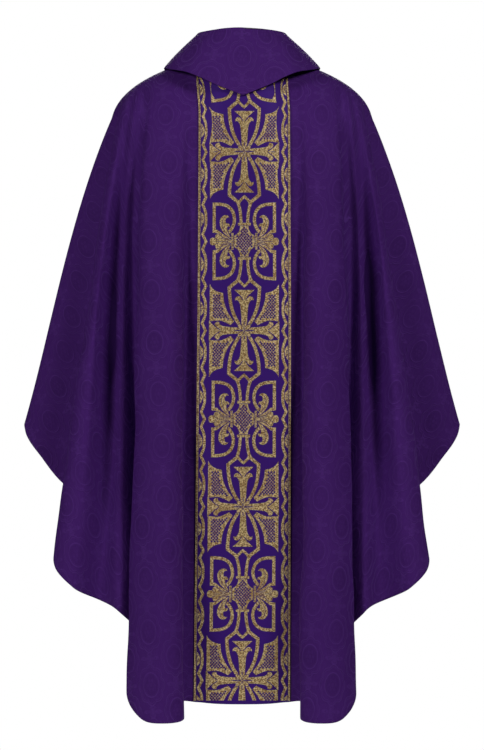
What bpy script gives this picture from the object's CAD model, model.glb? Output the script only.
"""A lined Gothic chasuble, hanging as it does when worn, photographed from the wearer's back.

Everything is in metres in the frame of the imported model: +Z is up, the back faces -Y, and the
origin is the middle of the neck opening. Every cloth is a thin closed sheet laid along one
smooth drape, which runs through the fold lines that the solids were built from.
"""
import math

import bmesh
import bpy
import numpy as np
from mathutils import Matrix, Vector
from mathutils.geometry import delaunay_2d_cdt


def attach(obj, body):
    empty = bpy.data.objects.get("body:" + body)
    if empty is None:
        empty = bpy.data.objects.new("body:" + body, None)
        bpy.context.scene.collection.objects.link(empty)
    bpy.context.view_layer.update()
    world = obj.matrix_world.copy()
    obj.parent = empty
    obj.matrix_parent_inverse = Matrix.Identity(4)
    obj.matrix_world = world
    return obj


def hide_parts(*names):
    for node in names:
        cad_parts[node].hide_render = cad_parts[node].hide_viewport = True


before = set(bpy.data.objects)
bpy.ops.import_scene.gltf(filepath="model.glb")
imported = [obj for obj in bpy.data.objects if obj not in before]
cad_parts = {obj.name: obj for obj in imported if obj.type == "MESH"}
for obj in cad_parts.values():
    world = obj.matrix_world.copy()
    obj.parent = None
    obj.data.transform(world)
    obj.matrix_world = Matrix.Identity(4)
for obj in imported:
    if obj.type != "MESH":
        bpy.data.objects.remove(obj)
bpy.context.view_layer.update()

SIDES = {"back": 1.0, "front": -1.0}  # times y, from a drape computed towards the back
HANDS = {"left": -1.0, "right": 1.0}

# ---------------------------------------------------------------- the drape

NECK_HALF_WIDTH = 0.075
NECK = {"back": (0.070, 0.012), "front": (0.092, -0.042)}  # depth and rise at the middle
FRONT_FULLNESS = 0.97
SHOULDER = np.array([[NECK_HALF_WIDTH, 0, 0], [0.218, 0, -0.038], [0.241, 0, -0.103]])
# For each hang line: neck angle, share of the shoulder line, crest xyz, hem xyz, turn, bow, sink (mm).
HANG_LINES = np.array([
    (0, 0, 0, -133, -40, 0, -172, -1187, 200, 0, 0),
    (37, 0, 42, -130, -37, 44, -174, -1186, 200, 0, 0),
    (90, 0, 70, -123, -32, 75, -176, -1183, 200, 0, 0),
    (90, 0.02, 76, -121, -32, 81, -176.5, -1182.5, 200, 0, 0),
    (90, 0.04, 82, -119, -32, 87, -177, -1182, 200, 0, 0),
    (90, 0.065, 90, -117, -33, 104, -181, -1180, 200, 0, 7),
    (90, 0.1, 99, -115, -34, 119, -192, -1182, 200, 0, 11),
    (90, 0.14, 111, -114, -36, 103, -237, -1205, 200, 5, 2),
    (90, 0.21, 128, -111, -39, 140, -262, -1209, 200, 0, -4),
    (90, 0.3, 147, -107, -44, 180, -247, -1203, 200, 2, -4),
    (90, 0.37, 164, -101, -48, 206, -214, -1164, 200, 8, 4),
    (90, 0.41, 173, -98, -52, 194, -180, -1110, 200, 10, 30),
    (90, 0.45, 182, -94, -56, 182, -160, -1066, 200, 18, 42),
    (90, 0.51, 193, -88, -61, 221, -186, -1019, 160, 14, 40),
    (90, 0.56, 201, -80, -66, 256, -158, -1001, 150, 14, 37),
    (90, 0.62, 210, -70, -72, 303, -190, -975, 130, 13, 9),
    (90, 0.68, 220, -57, -83, 338, -166, -938, 90, 10, 9),
    (90, 0.76, 225, -46, -91, 322, -133, -905, 60, 8, 10),
    (90, 0.83, 228, -37, -97, 212, -98, -858, 50, 0, 0),
    (90, 0.89, 235, -27, -102, 321, -50, -804, 40, 6, 0),
    (90, 0.94, 240, -17, -108, 377, -33, -741, 40, 11, 0),
    (90, 0.975, 243, -8, -113, 401, -16, -709, 40, 12, 0),
    (90, 1, 245, 0, -115, 408, 0, -686, 40, 12, 0),
], dtype=float)
BRAID_LINE, ORPHREY_LINE = 3, 4  # hang lines at the inside of the braid and the band's edge
ORPHREY_HALF_WIDTH = 0.087
FINE = 8  # columns of cloth between two hang lines
OVER_ROWS, HANG_ROWS = 30, 150
SEAM_GAP = 0.00002


def catmull(values, fine, before, after):
    """Smooth rows through the given ones, fine to an interval, with one more row at each end."""
    p = np.concatenate([[before], values, [after]])
    rows = []
    for i in range(1, len(p) - 2):
        for k in range(fine):
            t = k / fine
            a, b, c, d = p[i - 1], p[i], p[i + 1], p[i + 2]
            rows.append(0.5 * (2 * b + (c - a) * t + (2 * a - 5 * b + 4 * c - d) * t * t
                               + (3 * b - a - 3 * c + d) * t ** 3))
    rows.append(p[-2])
    return np.array(rows)


def smooth_lines():
    first, last = HANG_LINES[1].copy(), HANG_LINES[-2].copy()
    first[[0, 2, 5]] *= -1  # the mirror image of the next line, across the middle
    last[1] = 2 - last[1]
    last[[3, 6]] *= -1  # and across the arm line
    return catmull(HANG_LINES, FINE, first, last)


def neck_point(side, degrees):
    a = np.radians(degrees)
    depth, rise = NECK[side]
    return np.stack([NECK_HALF_WIDTH * np.sin(a), -depth * np.cos(a), rise * np.cos(a) ** 2], -1)


def bezier(a, b, c, t):
    return (1 - t) ** 2 * a + 2 * t * (1 - t) * b + t * t * c


def eased(t):
    return t ** 2 * (3 - 2 * t)


def waves(p, count, length, seed):
    """A smooth value from about -1 to 1 at each point, the sum of a few plane waves."""
    rng = np.random.default_rng(seed)
    total = np.zeros(p.shape[:-1])
    for _ in range(count):
        direction = rng.normal(size=3)
        k = 2 * math.pi / (length * rng.uniform(0.7, 1.5)) * direction / np.linalg.norm(direction)
        total += np.sin(p @ k + rng.uniform(0, 2 * math.pi))
    return total / math.sqrt(count)


def normals_of(p):
    """Unit normals of a grid whose rows run down and columns towards +X: they point towards -Y."""
    n = np.cross(np.gradient(p, axis=0), np.gradient(p, axis=1))
    return n / np.maximum(np.linalg.norm(n, axis=-1, keepdims=True), 1e-12)


def drape(side):
    """The half on the wearer's right as a grid of points with y towards the back, rows down."""
    lines = smooth_lines()
    angle, share = np.clip(lines[:, 0], 0, 90), np.clip(lines[:, 1], 0, 1)[:, None]
    crest, hem = lines[:, 2:5] * 0.001, lines[:, 5:8] * 0.001
    turn, bow, sink = lines[:, 8] * 0.001, lines[:, 9] * 0.001, lines[:, 10] * 0.001
    on_neck = np.arange(len(lines)) <= 2 * FINE
    top = np.where(on_neck[:, None], neck_point(side, angle), bezier(*SHOULDER, share))
    if side == "front":
        crest[:, 1] *= FRONT_FULLNESS
        hem[:, 1] *= FRONT_FULLNESS
        crest[:, 2] += NECK["front"][1] * np.maximum(0, 1 - (crest[:, 0] / 0.15) ** 2)
    share = (turn / np.linalg.norm(hem - crest, axis=1))[:, None]
    end = crest + (hem - crest) * share
    rows = [bezier(top, crest, end, t) for t in np.linspace(0, 1, OVER_ROWS + 1)]
    rows += [end + (hem - end) * t for t in np.linspace(0, 1, HANG_ROWS + 1)[1:]]
    p = np.array(rows)
    t = np.clip((crest[:, 2] - p[..., 2]) / (crest[:, 2] - hem[:, 2]), 0, 1)
    p[..., 0] += bow * 6.75 * t * (1 - t) ** 2
    onset, release = np.clip(t / 0.4, 0, 1), np.clip((1 - t) / 0.5, 0, 1)
    p[..., 1] += sink * eased(onset) * eased(release)
    return p


def wrinkled(p, sx, sy):
    """The same cloth with the shallow unevenness that real folds have, none at seams."""
    n = normals_of(p)
    rows, columns = p.shape[:2]
    last = len(HANG_LINES) - 1
    down = np.linspace(0, 1, rows)[:, None]
    across = np.linspace(0, last, columns)[None, :]
    free = np.clip(down / 0.25, 0, 1) * np.clip((last - across) / 1.5, 0, 1)
    loose = 0.25 + 0.75 * np.clip((across - ORPHREY_LINE) / 3, 0, 1)
    q = p * [sx, sy, 0.45]
    height = 0.0022 * waves(q, 9, 0.16, 5) + 0.0007 * waves(q, 12, 0.05, 6)
    return p + n * (height * free * loose)[..., None]


def flat_pattern(p):
    """Each point's place on the cloth before it was hung, by laying the strips side by side."""
    rows, columns = p.shape[:2]
    steps = np.linalg.norm(np.diff(p, axis=0), axis=-1)
    along = np.concatenate([np.zeros((1, columns)), np.cumsum(steps, axis=0)])
    hinge = OVER_ROWS
    a, b = np.zeros((columns, 2)), np.zeros((columns, 2))
    a[0] = (0, -along[hinge, 0])
    b[0] = (0, -along[-1, 0])

    def third(p0, p1, r0, r1):
        d = np.linalg.norm(p1 - p0)
        x = (r0 ** 2 - r1 ** 2 + d ** 2) / (2 * d)
        y = math.sqrt(max(r0 ** 2 - x ** 2, 0))
        e = (p1 - p0) / d
        return p0 + e * x + np.array([-e[1], e[0]]) * y

    for c in range(1, columns):
        length = along[-1, c] - along[hinge, c]
        a0, b0, a1, b1 = p[hinge, c - 1], p[-1, c - 1], p[hinge, c], p[-1, c]
        a[c] = third(a[c - 1], b[c - 1], np.linalg.norm(a1 - a0), np.linalg.norm(a1 - b0))
        e = third(a[c], b[c - 1], length, np.linalg.norm(b1 - b0))
        b[c] = e
    way = (b - a) / np.linalg.norm(b - a, axis=1, keepdims=True)
    return a + way * (along - along[hinge])[..., None]


# ---------------------------------------------------------------- sheets of cloth

SETTLE, SETTLE_LOSS, SETTLE_DEPTH = 0.0043, 0.006, 0.45  # sideways, its loss a metre, from this far down


def settled(verts):
    """The middle of the garment hangs a few millimetres to its right, and straightens near the hem."""
    verts = np.array(verts, dtype=float)
    beside = np.clip((0.22 - np.abs(verts[:, 0])) / 0.12, 0, 1)
    below = np.clip((-0.04 - verts[:, 2]) / 0.08, 0, 1)
    amount = SETTLE - SETTLE_LOSS * np.clip(-SETTLE_DEPTH - verts[:, 2], 0, 1)
    verts[:, 0] += amount * eased(beside) * eased(below)
    return verts


def new_object(name, verts, faces, material, uv=None, sharp=50):
    mesh = bpy.data.meshes.new(name)
    mesh.from_pydata(settled(verts).tolist(), [], [tuple(f) for f in faces])
    mesh.materials.append(MATERIALS[material])
    if uv is not None:
        layer = mesh.uv_layers.new(name="cloth")
        loops = np.empty(len(mesh.loops), dtype=np.int32)
        mesh.loops.foreach_get("vertex_index", loops)
        layer.data.foreach_set("uv", np.asarray(uv, dtype=np.float32)[loops].ravel())
    mesh.shade_smooth()
    mesh.set_sharp_from_angle(angle=math.radians(sharp))
    mesh.validate()
    obj = bpy.data.objects.new(name, mesh)
    bpy.context.scene.collection.objects.link(obj)
    return obj


def sheet_faces(rows, columns, flip):
    at = np.arange(rows * columns).reshape(rows, columns)
    under = at + rows * columns
    outer = np.stack([at[:-1, :-1], at[1:, :-1], at[1:, 1:], at[:-1, 1:]], -1).reshape(-1, 4)
    inner = np.stack([under[:-1, :-1], under[:-1, 1:], under[1:, 1:], under[1:, :-1]], -1)
    rims = []
    ring = np.concatenate([at[:, 0], at[-1, 1:], at[-2::-1, -1], at[0, -2:0:-1]])
    for i, v in enumerate(ring):
        w = ring[(i + 1) % len(ring)]
        rims.append((v, v + rows * columns, w + rows * columns, w))
    faces = np.concatenate([outer, inner.reshape(-1, 4), np.array(rims)])
    return faces[:, ::-1] if flip else faces


def sheet(name, shape, material, signs, node):
    """A closed thin solid between two distances, outer and inner, from the grid p, in place of a CAD node."""
    p, n, outer, inner, uv = shape
    rows, columns = p.shape[:2]
    outer = np.broadcast_to(np.asarray(outer, dtype=float), (rows, columns))
    inner = np.broadcast_to(np.asarray(inner, dtype=float), (rows, columns))
    mirror = np.array([signs[0], signs[1], 1.0])
    verts = np.concatenate([(p + n * outer[..., None]).reshape(-1, 3),
                            (p + n * inner[..., None]).reshape(-1, 3)]) * mirror
    uvs = np.tile(uv.reshape(-1, 2), (2, 1))
    faces = sheet_faces(rows, columns, signs[0] * signs[1] < 0)
    obj = new_object(name, verts, faces, material, uvs)
    finish_piece(obj, node)
    return obj


def finish_piece(obj, node=None):
    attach(obj, "root")
    if node:
        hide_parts(node)


def unit(n):
    return n / np.maximum(np.linalg.norm(n, axis=-1, keepdims=True), 1e-12)


def pinned_normals(p, on_neck):
    """Normals that stay in the planes of the centre seam and the shoulder seam."""
    n = normals_of(p)
    n[:, 0, 0] = 0
    n[:, -1, 1] = 0
    n[0, on_neck:, 1] = 0
    return unit(n)


def hem_profile(p, n, uv, outer, inner, turned=0.0, depth=0.02):
    """Adds a rounded lower edge, and the cloth turned up inside it."""
    rows, columns = p.shape[:2]
    steps = np.linalg.norm(np.diff(p, axis=0), axis=-1)
    up = np.concatenate([np.cumsum(steps[::-1], axis=0)[::-1], np.zeros((1, columns))])
    out = np.full((rows, columns), outer)
    back = np.full((rows, columns), inner)
    if turned:
        back -= turned * np.clip((depth + 0.003 - up) / 0.003, 0, 1)
    down = unit(p[-1] - p[-2])
    thick = (out - back)[-1]
    places = np.concatenate([p, [p[-1] + down * 0.0006, p[-1] + down * 0.0009]])
    normals = np.concatenate([n, n[-1:], n[-1:]])
    flat_places = np.concatenate([uv, uv[-1:], uv[-1:]])
    out = np.concatenate([out, [out[-1] - 0.15 * thick], [out[-1] - 0.4 * thick]])
    back = np.concatenate([back, [back[-1] + 0.15 * thick], [back[-1] + 0.4 * thick]])
    return places, normals, out, back, flat_places


# ---------------------------------------------------------------- materials

MATERIALS = {}


class Weave:
    """One cloth's material, made from its own place on the cloth in metres (the UV map)."""

    def __init__(self, name):
        self.material = bpy.data.materials.new(name)
        self.material.use_nodes = True
        self.nodes, self.links = self.material.node_tree.nodes, self.material.node_tree.links
        self.shader = self.nodes["Principled BSDF"]
        place = self.nodes.new("ShaderNodeUVMap")
        place.uv_map = "cloth"
        parts = self.nodes.new("ShaderNodeSeparateXYZ")
        self.links.new(place.outputs[0], parts.inputs[0])
        self.place, self.u, self.v = place.outputs[0], parts.outputs[0], parts.outputs[1]
        MATERIALS[name] = self.material

    def put(self, socket, value):
        if isinstance(value, bpy.types.NodeSocket):
            self.links.new(value, socket)
        else:
            socket.default_value = value

    def set(self, **values):
        for name, value in values.items():
            self.put(self.shader.inputs[name.replace("_", " ")], value)

    def math(self, operation, *values):
        node = self.nodes.new("ShaderNodeMath")
        node.operation = operation
        for socket, value in zip(node.inputs, values):
            self.put(socket, value)
        return node.outputs[0]

    def ramp(self, value, low, high, start=0.0, end=1.0):
        node = self.nodes.new("ShaderNodeMapRange")
        node.interpolation_type = "SMOOTHSTEP"
        for socket, setting in zip(node.inputs, (value, low, high, start, end)):
            self.put(socket, setting)
        return node.outputs[0]

    def line(self, distance, width):
        """1 within width/2 of distance zero, falling off softly over as much again."""
        return self.ramp(self.math("ABSOLUTE", distance), width * 0.3, width * 0.8, 1.0, 0.0)

    def noise(self, size, detail=2.0, stretch=(1, 1), offset=0.0):
        """A value about 0.5, whose features are about size metres across."""
        node = self.nodes.new("ShaderNodeVectorMath")
        node.operation = "MULTIPLY_ADD"
        self.put(node.inputs[0], self.place)
        self.put(node.inputs[1], (1 / (size * stretch[0]), 1 / (size * stretch[1]), 1))
        self.put(node.inputs[2], (offset, offset, offset))
        noise = self.nodes.new("ShaderNodeTexNoise")
        self.put(noise.inputs["Vector"], node.outputs[0])
        noise.inputs["Scale"].default_value = 1.0
        noise.inputs["Detail"].default_value = detail
        return noise.outputs["Fac"]

    def mix(self, share, a, b):
        node = self.nodes.new("ShaderNodeMix")
        node.data_type = "RGBA"
        for socket, value in zip((node.inputs[0], node.inputs[6], node.inputs[7]), (share, a, b)):
            self.put(socket, (*value, 1.0) if isinstance(value, tuple) else value)
        return node.outputs[2]

    def thread(self, across, down, pitch):
        """Ribs at a pitch, across, down or along the diagonal."""
        u = self.math("MULTIPLY", self.u, across * 2 * math.pi / pitch)
        v = self.math("MULTIPLY", self.v, down * 2 * math.pi / pitch)
        return self.math("SINE", self.math("ADD", u, v))

    def relief(self, height, depth, strength=1.0):
        bump = self.nodes.new("ShaderNodeBump")
        bump.inputs["Strength"].default_value = strength
        bump.inputs["Distance"].default_value = depth
        self.put(bump.inputs["Height"], height)
        self.put(self.shader.inputs["Normal"], bump.outputs[0])

    def cell(self, across, down, shift_u, shift_v, rx, ry):
        """The distance to the nearest point of a grid, in units of an ellipse rx by ry."""
        sums = []
        for value, pitch, shift, r in ((self.u, across, shift_u, rx), (self.v, down, shift_v, ry)):
            x = self.math("MULTIPLY_ADD", value, 1 / pitch, shift)
            x = self.math("SUBTRACT", x, self.math("ROUND", x))
            sums.append(self.math("MULTIPLY", x, pitch / r))
        x, y = sums
        square = self.math("MULTIPLY_ADD", x, x, self.math("MULTIPLY", y, y))
        return self.math("SQRT", square), x, y


def damask(name, ground, lines, rough):
    """Ovals in scalloped frames, with leaves and a fine lace between them, dull and bright in one colour."""
    w = Weave(name)
    across, down = 0.094, 0.094
    one, x1, y1 = w.cell(across, down, 0.0, 0.0, 0.015, 0.0215)
    two, x2, y2 = w.cell(across, down, 0.5, 0.5, 0.015, 0.0215)
    nearest = w.math("MINIMUM", one, two)
    apart = w.math("ABSOLUTE", w.math("SUBTRACT", one, two))
    close = w.math("MAXIMUM", w.math("SUBTRACT", 1.0, w.math("MULTIPLY", apart, 0.7)), 0.0)
    net = w.math("MULTIPLY_ADD", w.math("MULTIPLY", close, close), -0.36, nearest)  # ovals run together
    frames = w.line(w.math("SUBTRACT", nearest, 1.0), 0.1)
    inner = w.line(w.math("SUBTRACT", nearest, 0.86), 0.05)
    frames = w.math("MAXIMUM", frames, w.math("MULTIPLY", inner, 0.5))
    for r, x, y in ((one, x1, y1), (two, x2, y2)):
        turn = w.math("ARCTAN2", y, x)
        arcs = w.math("ABSOLUTE", w.math("COSINE", w.math("MULTIPLY", turn, 4.0)))
        for start, weight in ((1.3, 0.6), (1.47, 1.0)):
            edge = w.math("SUBTRACT", r, w.math("MULTIPLY_ADD", arcs, 0.2, start))
            frames = w.math("MAXIMUM", frames, w.math("MULTIPLY", w.line(edge, 0.08), weight))
    motif = None
    for shift in ((0.5, 0.0), (0.0, 0.5)):
        r, x, y = w.cell(across, down, *shift, 0.019, 0.0125)
        turn = w.math("ARCTAN2", y, x)
        petals = w.math("ABSOLUTE", w.math("COSINE", w.math("MULTIPLY", turn, 2.0)))
        edge = w.math("MULTIPLY_ADD", petals, 0.66, 0.3)
        leaf = w.ramp(w.math("SUBTRACT", edge, r), -0.03, 0.07)
        veins = w.line(w.math("SUBTRACT", w.math("MULTIPLY", edge, 0.62), r), 0.1)
        shape = w.math("SUBTRACT", leaf, w.math("MULTIPLY", veins, 0.8))
        motif = shape if motif is None else w.math("MAXIMUM", motif, shape)
    seed = None
    for r, x, y in ((one, x1, y1), (two, x2, y2)):
        turn = w.math("ARCTAN2", y, x)
        petals = w.math("COSINE", w.math("MULTIPLY", turn, 6.0))
        flower = w.ramp(w.math("SUBTRACT", w.math("MULTIPLY_ADD", petals, 0.12, 0.46), r), -0.03, 0.05)
        flower = w.math("SUBTRACT", flower, w.line(w.math("SUBTRACT", r, 0.24), 0.12))
        seed = flower if seed is None else w.math("MAXIMUM", seed, flower)
    uneven = w.noise(0.09, 3.0)
    hollow = w.math("MULTIPLY", w.ramp(nearest, 0.82, 1.0, 1.0, 0.0), w.ramp(uneven, 0.35, 0.65, 0.25, 1.0))
    figure = w.math("MAXIMUM", frames, w.math("MULTIPLY", motif, 0.6))
    figure = w.math("MAXIMUM", figure, w.math("MULTIPLY", seed, 0.35))
    lace = w.math("MULTIPLY", w.thread(1, 1, 0.0085), w.thread(1, -1, 0.0085))
    lace = w.math("MULTIPLY", w.ramp(lace, 0.35, 0.6, 0.0, 0.3), w.ramp(net, 1.78, 1.86))
    figure = w.math("MAXIMUM", figure, lace)
    figure = w.math("MULTIPLY", figure, w.ramp(uneven, 0.25, 0.75, 0.55, 1.0))
    slub = w.noise(0.004, 2.0, (0.35, 3.0))
    shade = w.math("MULTIPLY_ADD", hollow, -0.12, w.math("MULTIPLY_ADD", w.noise(0.35, 2.0), 0.24, 0.9))
    shade = w.math("MULTIPLY", shade, w.ramp(slub, 0.25, 0.75, 0.93, 1.07))
    color = w.mix(figure, ground, lines)
    vector = w.nodes.new("ShaderNodeVectorMath")
    vector.operation = "SCALE"
    w.put(vector.inputs[0], color)
    w.put(vector.inputs[3], shade)
    gloss = w.math("MULTIPLY_ADD", figure, -0.13, rough)
    gloss = w.math("ADD", gloss, w.math("MULTIPLY_ADD", w.noise(0.02, 3.0, offset=7.0), 0.12, -0.06))
    w.set(Base_Color=vector.outputs[0], Roughness=gloss, Specular_IOR_Level=0.14, Sheen_Roughness=0.4,
          Sheen_Weight=w.math("MULTIPLY_ADD", figure, 0.3, 0.02))
    w.put(w.shader.inputs["Sheen Tint"], (0.55, 0.38, 0.95, 1))
    w.put(w.shader.inputs["Specular Tint"], (0.5, 0.25, 1.0, 1))
    twill = w.thread(1, 1, 0.0009)
    height = w.math("MULTIPLY_ADD", twill, 0.06, w.math("MULTIPLY", figure, 1.5))
    height = w.math("MULTIPLY_ADD", slub, 0.2, height)
    w.relief(height, 0.0006, 0.9)


def satin(name, color, rough, pitch, direction, sheen, depth=0.0001, spread=0.15):
    """A plain cloth with its threads showing close to."""
    w = Weave(name)
    slub = w.noise(0.0035, 2.0, (0.3, 4.0) if direction[0] else (4.0, 0.3))
    blotch = w.noise(0.18, 3.0, offset=3.0)
    dark = tuple(c * (1 - spread) for c in color)
    light = tuple(min(c * (1 + spread), 1) for c in color)
    w.set(Base_Color=w.mix(w.math("MULTIPLY_ADD", slub, 0.5, w.math("MULTIPLY", blotch, 0.5)), dark, light),
          Roughness=w.math("MULTIPLY_ADD", slub, 0.16, rough - 0.08),
          Specular_IOR_Level=0.35, Sheen_Weight=sheen, Sheen_Roughness=0.4)
    top = max(color)
    for socket in ("Specular Tint", "Sheen Tint"):
        w.put(w.shader.inputs[socket], tuple(0.2 + 0.8 * c / top for c in color) + (1.0,))
    threads = w.thread(*direction, pitch)
    w.relief(w.math("MULTIPLY_ADD", threads, 0.35, slub), depth, 0.7)


def gold(name):
    """Gilt yarn in short floats: pale and brown threads beside each other over a fine rib."""
    w = Weave(name)
    float_a = w.noise(0.0023, 1.0, (1.3, 0.8))
    float_b = w.noise(0.0042, 1.0, (0.8, 1.4), offset=11.0)
    patch = w.noise(0.05, 2.0, offset=5.0)
    mottle = w.math("MULTIPLY_ADD", float_a, 0.62, w.math("MULTIPLY", float_b, 0.38))
    color = w.mix(w.ramp(mottle, 0.41, 0.6), (0.33, 0.17, 0.05), (1.0, 0.80, 0.41))
    color = w.mix(w.ramp(patch, 0.52, 0.72, 0.0, 0.5), color, (0.42, 0.22, 0.07))
    w.set(Base_Color=color, Metallic=0.6, Specular_IOR_Level=0.5,
          Roughness=w.ramp(mottle, 0.3, 0.7, 0.6, 0.36))
    rib = w.thread(0, 1, 0.0011)
    height = w.math("MULTIPLY_ADD", rib, 0.4, w.math("MULTIPLY", mottle, 1.8))
    w.relief(height, 0.0003, 0.8)


damask("damask", (0.069, 0.0173, 0.167), (0.099, 0.0296, 0.229), 0.62)
satin("lining", (0.06, 0.016, 0.15), 0.42, 0.0008, (1, 0), 0.1)
satin("orphrey", (0.052, 0.0125, 0.2), 0.5, 0.0009, (0, 1), 0.08, 0.00015, 0.2)
satin("interlining", (0.62, 0.58, 0.5), 0.85, 0.0012, (1, 1), 0.1, 0.0002)
satin("tape", (0.04, 0.013, 0.095), 0.7, 0.0014, (1, 1), 0.15, 0.0003)
gold("gold")
gold("braid")

# ---------------------------------------------------------------- panels and linings

ON_NECK = 2 * FINE
DAMASK_THICK, HEM_TURNED, HEM_DEPTH = 0.0008, 0.0016, 0.022
LINING = (-0.0025, -0.0029)  # outer and inner face, from the outside of the damask
bands = {}
for side, sy in SIDES.items():
    base = drape(side)
    flat = flat_pattern(base)
    half = {}
    for hand, sx in HANDS.items():
        p = wrinkled(base, sx, sy)
        n = pinned_normals(p, ON_NECK)
        half[hand] = (p, n)
        p = p.copy()
        p[..., 0] = np.maximum(p[..., 0], SEAM_GAP / 2)
        p[..., 1] = np.minimum(p[..., 1], -SEAM_GAP / 2)
        uv = flat * [sx, 1]
        node = f"{side}_panel_{hand}"
        shape = hem_profile(p, n, uv, 0.0, -DAMASK_THICK, HEM_TURNED, HEM_DEPTH)
        panel = sheet(f"{node}_cloth", shape, "damask", (sx, sy), node)
        keep = slice(0, p.shape[0] - 3)
        node = f"{side}_lining_{hand}"
        shape = hem_profile(p[keep], n[keep], uv[keep], *LINING)
        lining = sheet(f"{node}_cloth", shape, "lining", (sx, sy), node)
    bands[side] = (half, flat)

# ---------------------------------------------------------------- the band's woven figure

BAND_HALF = 87.0  # mm, as are all the sizes of the figure
TILE = 164.0  # from the middle of a cross to the middle of the knot below it, as drawn
FIGURE_REPEAT = 329.0  # from the first cross to the next, as woven
FIGURE_TIGHTENS = 3.3  # what each repeat loses towards the hem, from the middle of the first cross
FIRST_CROSS_Z = -0.188
FIELD = 65.6  # half the width between the borders
HOLE_PITCH, HOLE_ROWS = 5.4, 3.1
HOLE = np.array([(2.1, 0), (0, 2.5), (-2.1, 0), (0, -2.5)])


def curve(points, fine=6):
    p = np.array(points, dtype=float)
    return catmull(p, fine, 2 * p[0] - p[1], 2 * p[-1] - p[-2])


def joined(*runs):
    """Runs of points end to end, with a corner wherever two runs meet."""
    out = [runs[0]]
    for run in runs[1:]:
        out.append(run[1:])
    return np.concatenate([np.asarray(r, dtype=float) for r in out])


def hull(points):
    """The convex outline of a few points, anticlockwise."""
    middle = np.mean(points, axis=0)
    around = sorted(points, key=lambda q: math.atan2(q[1] - middle[1], q[0] - middle[0]))
    kept = []
    for i, q in enumerate(around):
        a, b = around[i - 1] - q, around[(i + 1) % len(around)] - q
        if b[0] * a[1] - b[1] * a[0] > 1e-9:
            kept.append(q)
    return np.array(kept)


def stroke(points, width):
    """A line of an even width as four-sided pieces."""
    p = np.asarray(points, dtype=float)
    d = np.diff(p, axis=0)
    d /= np.linalg.norm(d, axis=1, keepdims=True)
    before, after = np.concatenate([d[:1], d]), np.concatenate([d, d[-1:]])
    t = before + after
    t /= np.linalg.norm(t, axis=1, keepdims=True)
    miter = 1 / np.maximum((t * before).sum(1), 0.45)
    side = np.stack([-t[:, 1], t[:, 0]], 1) * (width / 2 * miter)[:, None]
    left, right = p + side, p - side
    return [hull([left[i], left[i + 1], right[i + 1], right[i]]) for i in range(len(p) - 1)]


def ellipse(x, y, rx, ry, turn=0.0, count=18):
    a = np.linspace(0, 2 * math.pi, count, endpoint=False)
    c, s = math.cos(math.radians(turn)), math.sin(math.radians(turn))
    px, py = rx * np.cos(a), ry * np.sin(a)
    return np.stack([x + c * px - s * py, y + s * px + c * py], 1)


def inside(polygon, point, margin):
    """Whether a point is in a polygon and further than margin from its edges."""
    a, b = polygon, np.roll(polygon, -1, axis=0)
    x, y = point
    crosses = (a[:, 1] > y) != (b[:, 1] > y)
    with np.errstate(divide="ignore", invalid="ignore"):
        at = a[:, 0] + (y - a[:, 1]) * (b[:, 0] - a[:, 0]) / (b[:, 1] - a[:, 1])
    if (crosses & (x < at)).sum() % 2 == 0:
        return False
    d = b - a
    t = np.clip(((point - a) * d).sum(1) / np.maximum((d * d).sum(1), 1e-9), 0, 1)
    return np.linalg.norm(a + d * t[:, None] - point, axis=1).min() > margin


def lattice(polygon, x0, y0, margin):
    """Diamond holes in a staggered grid, kept inside a polygon."""
    holes = []
    for j in range(-40, 41):
        for i in range(-40, 41):
            c = np.array([x0 + HOLE_PITCH * (i + 0.5 * (j % 2)), y0 + HOLE_ROWS * j])
            if inside(polygon, c, margin):
                holes.append(c + HOLE)
    return holes


def cross_arms():
    along = [(2, 0), (6, 4.4), (11, 5.6), (22, 6.1), (32, 7), (40, 8.2), (44.2, 10.6), (46, 13), (46.6, 16.2),
             (50.5, 16.4), (53.8, 14.2), (55, 11), (53.6, 8), (50.6, 5.6), (47.2, 3.6), (45, 1.6), (44, 0)]
    tip = [(44, 0), (47.6, 2.2), (51.6, 5), (56.6, 9.2), (61, 13.6), (FIELD, 18.6), (FIELD, 0)]
    down = [(0, 2), (4.2, 6), (4.9, 10), (5.5, 23), (6.1, 33), (6.9, 42), (7.7, 47.6), (9.6, 52.2),
            (12, 55.4), (14.4, 56.5), (17.4, 55.4), (17.2, 59), (15, 62), (11.8, 63.6), (8.4, 62.6),
            (5.6, 59.6), (3.4, 56.6), (0, 55.4)]
    foot = [(0, 55), (2.4, 57.4), (4.8, 61.4), (8.2, 65.6), (13, 69.8), (18.6, 74.8), (0, 74.8)]
    shapes = [(np.array(along), True)]
    shapes += [(q, False) for q in stroke(curve([(44.4, 1.2), (48, 4), (52, 6.6), (55.6, 11)], 3), 1.1)]
    shapes += [(np.array(tip), True), (np.array(down), True)]
    shapes += [(q, False) for q in stroke(curve([(1.6, 56), (4.4, 58.8), (7.6, 63.2), (12, 64.8)], 3), 1.1)]
    shapes.append((np.array(foot), True))
    shapes.append((np.array([(3, 0), (9, 1.1), (15, 1), (20.5, 0)]), False))
    shapes.append((np.array([(0, 9), (0.9, 11), (0.8, 15), (0, 19)]), False))
    shapes.append((ellipse(6.6, 6.4, 7.6, 4.4, 45), False))
    shapes.append((ellipse(6.6, 6.4, 6.4, 3.5, 45), True))
    return shapes + [(q, True) for q in stroke([(-0.5, -0.5), (3, 3)], 1.2)]


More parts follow.
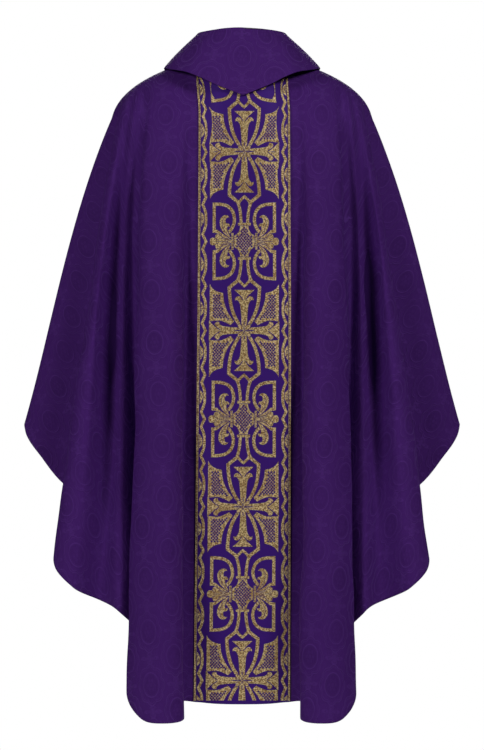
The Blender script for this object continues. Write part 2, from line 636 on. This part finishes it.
def petal_frame():
    edge = joined(curve([(9.4, 11.4), (15.6, 21.5), (21.9, 36.2), (25.8, 52), (27.6, 67.9), (28.1, 79.2)]),
                  [(28.1, 79.2), (18.4, 87.1), (12.4, 91.9)])
    stem = curve([(13.2, 91), (9.9, 99.5), (8, 108.6), (6.6, 119.9), (6, 131)])
    arch = curve([(-1.6, 81), (0, 82.2), (4.8, 86.4), (9.2, 91.6), (11.4, 97)])
    return [(q, True) for q in stroke(edge, 6.2) + stroke(stem, 5.4) + stroke(arch, 4.8)]


def corner_window():
    outline = joined([(64.6, 17.2), (64.6, 86)], curve([(64.6, 86), (60, 78.4), (51.3, 72.4), (39.6, 69)], 4),
                     curve([(39.6, 69), (38.4, 56), (34, 41), (27.6, 28.4), (19, 16.8)], 4),
                     [(19, 16.8), (25.4, 10)],
                     curve([(25.4, 10), (36.2, 15.6), (47.2, 18.6), (64.6, 17.2)], 4))[:-1]
    return [(outline, True)] + [(hole, False) for hole in lattice(outline, 57, 40, 5.7)]


def scroll():
    frame_line = joined(curve([(29.6, 148), (24.4, 142), (19.8, 132.3), (18.8, 121), (22.5, 108.6),
                               (30.6, 100.2), (42.1, 96.4), (56.6, 95.6)], 5),
                        [(56.6, 95.6), (56.6, 145.2), (51, 145.8), (43, 152.4), (36, 157), (27, 160)])
    leaf = joined(curve([(25, 158.6), (31.4, 155), (39.6, 147.4), (44.6, 138), (46.2, 130), (45, 123.4),
                         (41.4, 118.4), (37, 116), (33.4, 116.2), (30, 117.6), (27.9, 120.4)], 3),
                  curve([(27.9, 120.4), (30.4, 120.2), (33.2, 121.2), (35, 124.4), (35, 128.4), (33.6, 131),
                         (31, 131.2), (28.4, 132.2), (26.8, 135), (27.4, 138)], 2),
                  curve([(27.4, 138), (29.6, 136.4), (31.8, 137.6), (32, 141.6), (30.4, 147.4), (26.6, 155.6),
                         (25, 158.6)], 2))[:-1]
    closed = np.concatenate([leaf, leaf[:1]])
    vein = curve([(31.6, 151.6), (37.2, 144.6), (40.6, 135), (40.8, 127), (38, 121)], 4)
    shapes = [(q, True) for q in stroke(frame_line, 5.8)]
    shapes += [(q, False) for q in stroke(closed, 2.6)]
    shapes.append((leaf, True))
    return shapes + [(q, False) for q in stroke(vein, 0.8)]


def knot():
    """The laced diamond between the crosses, its ties and the leaf that spreads from it."""
    end = TILE + 8
    diamond = joined([(0, 135.6), (8, 135.6)], curve([(8, 135.6), (8.4, 141), (12, 148.6), (18.8, 153.8)], 4),
                     [(18.8, 153.8), (19.6, end), (0, end)])
    whole = np.concatenate([diamond[1:-1], diamond[1:-1][::-1] * [-1, 1]])
    leaf = joined([(24.6, end), (24.6, 161)],
                  curve([(24.6, 161), (34, 159.4), (40, 158), (43.6, 154.8), (46.6, 151.6), (50.4, 150.6),
                         (53.6, 152), (54.6, 155.6), (56.8, 157.4), (60.4, 157), (63.8, 159.4),
                         (65, TILE)], 3),
                  [(65, TILE), (65, end)])
    shapes = [(diamond, True)] + [(hole, False) for hole in lattice(whole, 0, TILE, 3.4)]
    shapes.append((np.array([(0, 135), (9.5, 135), (9.5, 136), (0, 136)]), False))
    shapes.append((np.array([(0, 130.2), (10.4, 130.2), (10.4, 135), (0, 135)]), True))
    shapes.append((ellipse(10.4, 132.6, 1.8, 2.9, 0, 12), True))
    shapes += [(q, False) for q in stroke(leaf[1:-1], 2.2)]
    shapes.append((leaf, True))
    for vein in ([(27, 162), (36, 161.2), (44, 157.6)], [(30, TILE), (53, TILE)],
                 [(55, 156.4), (53.4, 159.4), (49, 161)]):
        shapes += [(q, False) for q in stroke(curve(vein, 4), 0.9)]
    shapes.append((np.array([(19.4, 148.4), (20.2, 148.4), (20.2, end), (19.4, end)]), False))
    shapes.append((np.array([(20.2, 148.6), (24.6, 148.6), (24.6, end), (20.2, end)]), True))
    for j in range(5):
        shapes += [(q, False) for q in stroke([(19.8, 151 + 3 * j), (25, 152.2 + 3 * j)], 0.5)]
    return shapes


def border():
    """The zigzag ribbon, with a leaf in each of its long bends."""
    points = [(72.2, -4), (72.2, 0)]
    for middle in (41.0, 123.0):
        bend = ((78.8, -27.3), (74.4, -17), (72.6, -10), (72.2, 0), (72.6, 10), (74.4, 17), (78.8, 27.3),
                (72.2, 41))
        points += [(x, middle + d) for x, d in bend]
    points.append((76, TILE + 8))
    shapes = [(q, True) for q in stroke(points, 5)]
    for middle in (41.0, 123.0):
        leaf = [(81.8, -13.6), (81.8, 13.6), (78.4, 8.6), (76.2, 3), (75.6, -2), (76.8, -8.2)]
        shapes += [(q, False) for q in stroke(np.array(leaf[2:] + leaf[:1]) + [0, middle], 1.2)]
        shapes.append((np.array(leaf) + [0, middle], True))
        for a, b in (((80.9, -5.2), (78.4, 1.6)), ((80.4, 4.4), (78.9, 8.4))):
            shapes += [(q, False) for q in stroke(np.array([a, b]) + [0, middle], 1.1)]
    return shapes


def figure_tile():
    """A quarter of one repeat as a flat mesh: what is gold, without the ground."""
    shapes = [(np.array([(0, 0), (BAND_HALF, 0), (BAND_HALF, TILE), (0, TILE)]), False)]
    for part in (border, corner_window, petal_frame, cross_arms, scroll, knot):
        shapes += part()
    verts, faces = [], []
    for polygon, _ in shapes:
        x, y = np.asarray(polygon, dtype=float).T
        clockwise = (x * np.roll(y, -1) - np.roll(x, -1) * y).sum() < 0
        order = slice(None, None, -1 if clockwise else 1)
        faces.append(list(range(len(verts), len(verts) + len(x))))
        verts += [Vector(q) for q in zip(x[order].tolist(), y[order].tolist())]
    step = 7.0
    verts += [Vector((x + 0.37, y + 0.41)) for x in np.arange(2, BAND_HALF - 2, step)
              for y in np.arange(2, TILE - 2, step)]
    points, _, triangles, _, _, origin = delaunay_2d_cdt(verts, [], faces, 1, 1e-4, True)
    kept = [t for t, o in zip(triangles, origin) if 0 in o and shapes[max(o)][1]]
    return np.array([tuple(p) for p in points]), np.array(kept)


def figure_flat(first, last, cross):
    """The figure over the whole band, between two distances from the neck edge (m)."""
    points, triangles = figure_tile()
    half = FIGURE_REPEAT / 2000
    points = points * [0.001, half / TILE]
    verts, faces = [], []
    lowest = math.floor((first - cross) / half) - 1
    for k in range(lowest, math.ceil((last - cross) / half) + 1):
        for mirror in (1, -1):
            q = points * [mirror, 1]
            q = q if k % 2 == 0 else q * [1, -1] + [0, half]
            offset = sum(len(v) for v in verts)
            verts.append(q + [0, cross + k * half])
            flip = (mirror < 0) != (k % 2 != 0)
            faces.append((triangles[:, ::-1] if flip else triangles) + offset)
    verts, faces = np.concatenate(verts), np.concatenate(faces)
    keys, back = np.unique(np.round(verts * 1e6 / 5).astype(np.int64), axis=0, return_inverse=True)
    place = np.zeros((len(keys), 2))
    place[back.ravel()] = verts
    faces = back.ravel()[faces]
    faces = faces[(faces[:, 0] != faces[:, 1]) & (faces[:, 1] != faces[:, 2]) & (faces[:, 0] != faces[:, 2])]
    place[:, 1] -= FIGURE_TIGHTENS * 0.001 * ((place[:, 1] - cross) / (2 * half)) ** 2
    return clipped(place, faces, first, last)


def clipped(verts, faces, first, last):
    mesh = bpy.data.meshes.new("flat")
    mesh.from_pydata([(x, y, 0) for x, y in verts], [], faces.tolist())
    bm = bmesh.new()
    bm.from_mesh(mesh)
    for limit, way in ((first, 1), (last, -1)):
        everything = list(bm.verts) + list(bm.edges) + list(bm.faces)
        bmesh.ops.bisect_plane(bm, geom=everything, plane_co=(0, limit, 0), plane_no=(0, way, 0),
                               clear_inner=True, dist=1e-6)
    loose = [v for v in bm.verts if not v.link_faces]
    bmesh.ops.delete(bm, geom=loose, context="VERTS")
    bmesh.ops.triangulate(bm, faces=list(bm.faces))
    bm.verts.index_update()
    verts = np.array([(v.co.x, v.co.y) for v in bm.verts])
    faces = np.array([[v.index for v in f.verts] for f in bm.faces])
    bm.free()
    bpy.data.meshes.remove(mesh)
    return verts, faces


class Band:
    """The cloth under one orphrey, as places and outward vectors at even steps across and down."""

    def __init__(self, side):
        half, flat = bands[side]
        last = ORPHREY_LINE * FINE
        turned = np.array([-1.0, 1.0, 1.0])
        (left, left_n), (right, right_n) = half["left"], half["right"]
        self.points = np.concatenate([left[:, last:0:-1] * turned, right[:, :last + 1]], axis=1)
        self.normals = np.concatenate([left_n[:, last:0:-1] * turned, right_n[:, :last + 1]], axis=1)
        self.flat = np.concatenate([flat[:, last:0:-1] * [-1, 1], flat[:, :last + 1]], axis=1)
        self.length = float(-self.flat[-1, :, 1].max())
        self.sign = SIDES[side]
        self.step_v = 0.004
        self.v = np.arange(0, self.length + self.step_v, self.step_v)
        self.u = np.linspace(-ORPHREY_HALF_WIDTH, ORPHREY_HALF_WIDTH, 59)
        rows = []
        for source in (self.points, self.normals, self.flat):
            columns = [[np.interp(self.v, -self.flat[:, j, 1], source[:, j, k])
                        for k in range(source.shape[2])] for j in range(source.shape[1])]
            rows.append(np.array(columns).transpose(2, 0, 1))
        at, normal, flat_at = rows
        self.grid = np.zeros((len(self.v), len(self.u), 6))
        both = np.concatenate([at, normal], axis=2)
        for i in range(len(self.v)):
            across = flat_at[i, :, 0]
            across = across / across[-1] * ORPHREY_HALF_WIDTH
            for k in range(6):
                self.grid[i, :, k] = np.interp(self.u, across, both[i, :, k])

    def below(self, z):
        """How far down the cloth, from the neck edge, the middle of the band is at height z."""
        middle = self.points.shape[1] // 2
        return float(np.interp(-z, -self.points[:, middle, 2], -self.flat[:, middle, 1]))

    def place(self, u, v, height):
        """Points at flat places u across and v down, height above the damask."""
        x = np.clip((u - self.u[0]) / (self.u[1] - self.u[0]), 0, len(self.u) - 1.001)
        y = np.clip(v / self.step_v, 0, len(self.v) - 1.001)
        i, j = y.astype(int), x.astype(int)
        fy, fx = (y - i)[:, None], (x - j)[:, None]
        g = self.grid
        above = g[i, j] * (1 - fx) + g[i, j + 1] * fx
        under = g[i + 1, j] * (1 - fx) + g[i + 1, j + 1] * fx
        q = above * (1 - fy) + under * fy
        return (q[:, :3] + unit(q[:, 3:]) * np.asarray(height)[..., None]) * [1, self.sign, 1]


def raised(name, band, verts, faces, low, high, material, slot):
    """A flat mesh laid on the band as a closed relief between two heights."""
    count = len(verts)
    u, v = verts[:, 0], verts[:, 1]
    points = np.concatenate([band.place(u, v, np.full(count, height)) for height in (high, low)])
    a, b, c = verts[faces[:, 0]], verts[faces[:, 1]], verts[faces[:, 2]]
    turned = (b[:, 0] - a[:, 0]) * (c[:, 1] - a[:, 1]) - (b[:, 1] - a[:, 1]) * (c[:, 0] - a[:, 0]) > 0
    faces = np.where(turned[:, None], faces[:, ::-1], faces)
    edges = np.concatenate([faces[:, [0, 1]], faces[:, [1, 2]], faces[:, [2, 0]]])
    key = edges.min(1) * (count + 1) + edges.max(1)
    _, index, uses = np.unique(key, return_index=True, return_counts=True)
    rim = edges[index[uses == 1]]
    walls = np.stack([rim[:, 1], rim[:, 0], rim[:, 0] + count, rim[:, 1] + count], 1)
    everything = [tuple(f) for f in faces]
    everything += [tuple(f + count) for f in faces[:, ::-1]]
    everything += [tuple(w) for w in walls]
    if band.sign < 0:
        everything = [f[::-1] for f in everything]
    obj = new_object(name, points, everything, material, np.tile(verts, (2, 1)) * [1, -1], sharp=40)
    finish_piece(obj)
    return obj


def ladder(first, last, inner, outer, rail, pitch):
    """A flat braid: two rails joined by rungs."""
    verts, faces = [], []
    count = int((last - first) / pitch)
    lines = [first + (last - first) * k / (2 * count) for k in range(2 * count + 1)]
    columns = [inner, inner + rail, outer - rail, outer]
    for y in lines:
        verts += [(x, y) for x in columns]
    for k in range(2 * count):
        for c in range(3):
            if c != 1 or k % 2 == 0:
                a = 4 * k + c
                faces += [(a, a + 1, a + 5), (a, a + 5, a + 4)]
    return np.array(verts), np.array(faces)


# ---------------------------------------------------------------- orphreys and their braids

SATIN = (0.0013, 0.0003)  # outer and inner face, from the outside of the damask
CANVAS = (-0.0013, -0.0020)
GOLD = (SATIN[0] - 0.0002, SATIN[0] + 0.00025)
BRAID = (0.00165, 0.0023)
BRAID_INSIDE, BRAID_OUTSIDE, BRAID_RAIL, BRAID_PITCH = 0.0833, 0.0869, 0.0012, 0.0028
WOVEN_FROM = 0.03  # below the neck edge, under the collar
for side, sy in SIDES.items():
    band = Band(side)
    p, n, uv = band.points, band.normals, band.flat
    satin = sheet(f"{side}_orphrey_satin", hem_profile(p, n, uv, *SATIN), "orphrey", (1, sy),
                  f"{side}_orphrey")
    keep = slice(2, p.shape[0] - 4)
    canvas = sheet(f"{side}_orphrey_canvas", hem_profile(p[keep], n[keep], uv[keep], *CANVAS), "interlining",
                   (1, sy), f"{side}_orphrey_interlining")
    verts, faces = figure_flat(WOVEN_FROM, band.length - 0.0015, band.below(FIRST_CROSS_Z))
    figure = raised(f"{side}_orphrey_figure", band, verts, faces, *GOLD, "gold", "orphrey")
    for hand, sx in HANDS.items():
        verts, faces = ladder(WOVEN_FROM, band.length - 0.001, BRAID_INSIDE, BRAID_OUTSIDE, BRAID_RAIL,
                              BRAID_PITCH)
        node = f"{side}_orphrey_braid_{hand}"
        braid = raised(f"{node}_weave", band, verts * [sx, 1], faces, *BRAID, "braid", "braid")
        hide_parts(node)

# ---------------------------------------------------------------- collar and neck binding

ROLL_HALF_WIDTH, ROLL_HEIGHT, STAND_CLEARANCE = 83.7, 43, 5  # mm
COLLAR_TIP = (147, 0, -19.5)  # where the edge crosses the shoulder line
COLLARS = {
    "back": (80, 2, [(0, -129, -84), (48, -122, -64), (77, -113, -49), (104, -96, -37), (134, -53, -27)]),
    "front": (108, -44, [(0, -134, -137), (49, -129, -108), (79, -121, -85), (107, -102, -61),
                         (135, -55, -33)]),
}  # depth and rise of the roll, and points of the edge from the middle to the shoulder (mm)


def collar_section(side, depth, rise, tip):
    """From the seam at the neck, up inside, over the roll and down to the edge, in metres."""
    tip = np.array(tip, dtype=float)
    a = math.atan2(tip[0], -tip[1])
    foot = neck_point(side, math.degrees(a)) * 1000 * [0.95, 0.95, 1] + [0, 0, STAND_CLEARANCE]
    roll = np.array([ROLL_HALF_WIDTH * math.sin(a), -depth * math.cos(a),
                     ROLL_HEIGHT + rise * math.cos(a) ** 2])
    out = np.array([math.sin(a), -math.cos(a), 0])
    within, beyond = roll - 3.5 * out - [0, 0, 4], roll + 4 * out - [0, 0, 4]

    def fall(share, swell):
        return beyond + (tip - beyond) * share + swell * out

    rows = [foot, foot + (within - foot) * 0.55, within, roll, beyond, fall(0.35, 2.5), fall(0.7, 2), tip]
    return np.array(rows) * 0.001


def collar_grid(side):
    """Points of one collar, rows from the neck seam to the edge, columns from the middle to the shoulder."""
    depth, rise, edge = COLLARS[side]
    sections = np.array([collar_section(side, depth, rise, tip) for tip in edge + [COLLAR_TIP]])
    corner = np.clip((np.arange(8) - 3) / 4, 0, 1)[:, None]  # the edge turns sharply at the middle
    mirrored = sections[1] * [-1, 1, 1]
    before = mirrored * (1 - corner) + (2 * sections[0] - sections[1]) * corner
    columns = catmull(sections, 8, before, sections[-2] * [1, -1, 1])
    rows = columns.transpose(1, 0, 2)
    return catmull(rows, 8, 2 * rows[0] - rows[1], 2 * rows[-1] - rows[-2])


for side, sy in SIDES.items():
    right = collar_grid(side)
    right[:, 0, 0] = 0
    p = np.concatenate([right[:, :0:-1] * [-1, 1, 1], right], axis=1)
    middle = right.shape[1] - 1
    n = unit(normals_of(p))
    n[:, [0, -1], 1] = 0
    n = unit(n)
    p[:, [0, -1], 1] -= SEAM_GAP / 2
    q = p * [1, sy, 1]
    p = p + n * (0.0006 * waves(q, 6, 0.07, 11))[..., None]
    steps = np.linalg.norm(np.diff(p, axis=0), axis=-1)
    down = np.concatenate([np.zeros((1, p.shape[1])), np.cumsum(steps, axis=0)])
    across = np.concatenate([[0], np.cumsum(np.linalg.norm(np.diff(p[-20], axis=0), axis=-1))])
    uv = np.stack([np.broadcast_to(across - across[middle], down.shape), -down], -1)
    to_edge = down[-1] - down
    rolled = np.clip(1 - to_edge / 0.005, 0, 1) ** 2  # the two damasks close on each other at the edge
    level = np.zeros_like(rolled)
    plies = (("upper_collar", "damask", -0.0006 * rolled, -0.0008 - 0.0005 * rolled, slice(None)),
             ("collar_interlining", "interlining", level - 0.0011, level - 0.0017, slice(1, -4)),
             ("under_collar", "damask", -0.0020 + 0.0005 * rolled, -0.0028 + 0.0006 * rolled, slice(None)))
    for name, material, outer, inner, keep in plies:
        shape = (p[keep], n[keep], outer[keep], inner[keep], uv[keep])
        ply = sheet(f"{side}_{name}_cloth", shape, material, (1, sy), f"{side}_{name}")


def binding_point(degrees):
    """A point of the neck seam's inside, all the way round from the back."""
    turned = abs(degrees)
    side = "back" if turned <= 90 else "front"
    point = neck_point(side, turned if turned <= 90 else 180 - turned)
    return point * [math.copysign(0.87, degrees), 0.87 * SIDES[side], 1]


BINDING_STEPS = 120
ring = np.array([binding_point(a) for a in np.linspace(-180, 180, BINDING_STEPS + 1)[:-1]])
profile = [(0, 0.0117), (-0.0002, 0.012), (-0.0006, 0.012), (-0.0008, 0.0117), (-0.0008, 0.002),
           (-0.0008, -0.0077), (-0.0006, -0.008), (-0.0002, -0.008), (0, -0.0077), (0, 0.002)]
lengths = np.linalg.norm(np.diff(np.concatenate([ring, ring[:1]]), axis=0), axis=1)
along = np.concatenate([[0], np.cumsum(lengths)])
verts, uv = [], []
for i, q in enumerate(ring):
    out = unit(np.array([q[0], q[1], 0]))
    for inward, up in profile:
        verts.append(q + out * inward + [0, 0, up])
        uv.append((along[i], up))
count = len(profile)
faces = []
for i in range(BINDING_STEPS):
    this, following = i * count, (i + 1) % BINDING_STEPS * count
    for k in range(count):
        beside = (k + 1) % count
        faces.append((this + k, this + beside, following + beside, following + k))
binding = new_object("neck_binding_tape", verts, faces, "tape", uv)
finish_piece(binding, "neck_binding")

# ---------------------------------------------------------------- camera, light, floor

DISTANCE, MIDDLE, FRAME_HEIGHT = 4.6, -0.594, 1.405  # of the camera, and what it sees at the origin
AMBIENT = 0.028
camera = bpy.data.objects.new("camera", bpy.data.cameras.new("camera"))
camera.location = (0, -DISTANCE, MIDDLE)
camera.rotation_euler = (math.radians(90), 0, 0)
camera.data.sensor_fit = "VERTICAL"
camera.data.sensor_height = 24
camera.data.lens = 24 * DISTANCE / FRAME_HEIGHT
camera.data.clip_end = 50
bpy.context.scene.collection.objects.link(camera)
bpy.context.scene.camera = camera
world = bpy.data.worlds.new("studio")
bpy.context.scene.world = world
world.use_nodes = True
nodes, links = world.node_tree.nodes, world.node_tree.links
nodes["Background"].inputs[0].default_value = (1, 1, 1, 1)
seen = nodes.new("ShaderNodeLightPath")
level = nodes.new("ShaderNodeMapRange")
level.inputs[3].default_value = AMBIENT
level.inputs[4].default_value = 1.0  # the backdrop that the camera sees
links.new(seen.outputs["Is Camera Ray"], level.inputs[0])
links.new(level.outputs[0], nodes["Background"].inputs[1])


def soft_box(name, place, width, height, power, aim=(0, 0, -0.55)):
    light = bpy.data.lights.new(name, "AREA")
    light.shape, light.size, light.size_y, light.energy = "RECTANGLE", width, height, power
    obj = bpy.data.objects.new(name, light)
    obj.location = place
    obj.rotation_euler = (Vector(aim) - Vector(place)).to_track_quat("-Z", "Y").to_euler()
    bpy.context.scene.collection.objects.link(obj)


soft_box("key_right", (3.2, -3.3, 2.1), 1.3, 1.3, 110)
soft_box("key_left", (-3.3, -3.3, 1.0), 1.3, 1.3, 84)
soft_box("back", (0.0, 4.2, 1.0), 2.2, 1.6, 60)

FLOOR_RADIUS, FLOOR_Z = 0.95, -1.45
floor = bpy.data.objects.new("floor", bpy.data.meshes.new("floor"))
turns = [math.radians(a) for a in range(0, 360, 5)]
ring = [(FLOOR_RADIUS * math.cos(a), FLOOR_RADIUS * math.sin(a), FLOOR_Z) for a in turns]
floor.data.from_pydata(ring, [], [list(range(len(ring)))])
pale = bpy.data.materials.new("studio_floor")
pale.use_nodes = True
pale.node_tree.nodes["Principled BSDF"].inputs["Base Color"].default_value = (0.8, 0.8, 0.8, 1)
pale.node_tree.nodes["Principled BSDF"].inputs["Roughness"].default_value = 0.9
floor.data.materials.append(pale)
bpy.context.scene.collection.objects.link(floor)
bpy.context.scene.view_settings.view_transform = "Standard"
